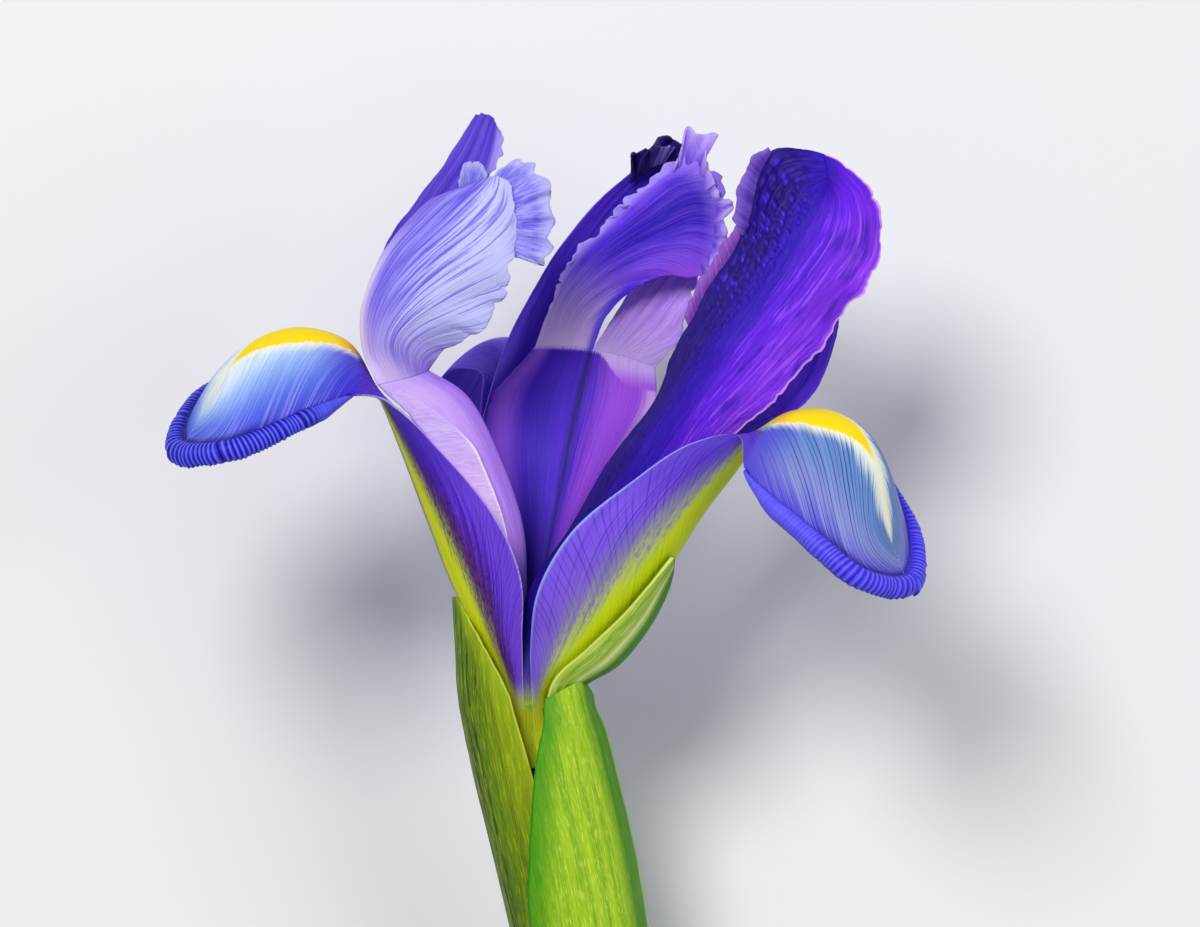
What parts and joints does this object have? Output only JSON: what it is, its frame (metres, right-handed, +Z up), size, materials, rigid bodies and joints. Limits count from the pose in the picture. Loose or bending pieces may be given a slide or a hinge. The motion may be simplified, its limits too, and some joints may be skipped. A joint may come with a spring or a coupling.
{
  "type": "iris flower",
  "caption": "Cut iris flower laid down: drooping falls with ribbed rims, upright standards, crested style arms, leafy bracts and a short stem.",
  "frame": {"origin": "on the surface, under the middle of the laid flower's bounding box", "axes": "+Y from the cut end of the stem towards the bloom, +Z up from the surface towards the viewer, +X to the viewer's right"},
  "size_m": [0.093, 0.1738, 0.0595],
  "materials": {
    "stem": "smooth waxy green stem",
    "bract_olive": "olive green leaf tissue with fine lengthwise veins",
    "bract_green": "bright green leaf tissue with fine lengthwise veins",
    "bract_pale": "pale yellow-green leaf tissue with a cream margin",
    "fall": "veined blue-violet petal with a yellow signal and a ribbed rim",
    "standard": "deep violet petal with raised veins",
    "style_lilac": "pale lilac petal with violet veins and a cut edge",
    "style_violet": "violet petal with a cut edge",
    "anther": "powdery cream anther on a pale filament"
  },
  "bodies": {
    "root": {"stem_with_ovary": "stem", "spathe_left_bract": "bract_olive", "spathe_right_bract": "bract_green", "spathe_inner_valve": "bract_pale", "fall_left": "fall", "fall_right": "fall", "fall_back": "fall", "standard_front": "standard", "standard_back_left": "standard", "standard_back_right": "standard", "style_arm_left": "style_lilac", "style_arm_back": "style_violet", "style_arm_right": "style_violet", "stamen_left": "anther", "stamen_right": "anther", "stamen_back": "anther"}
  },
  "joints": []
}
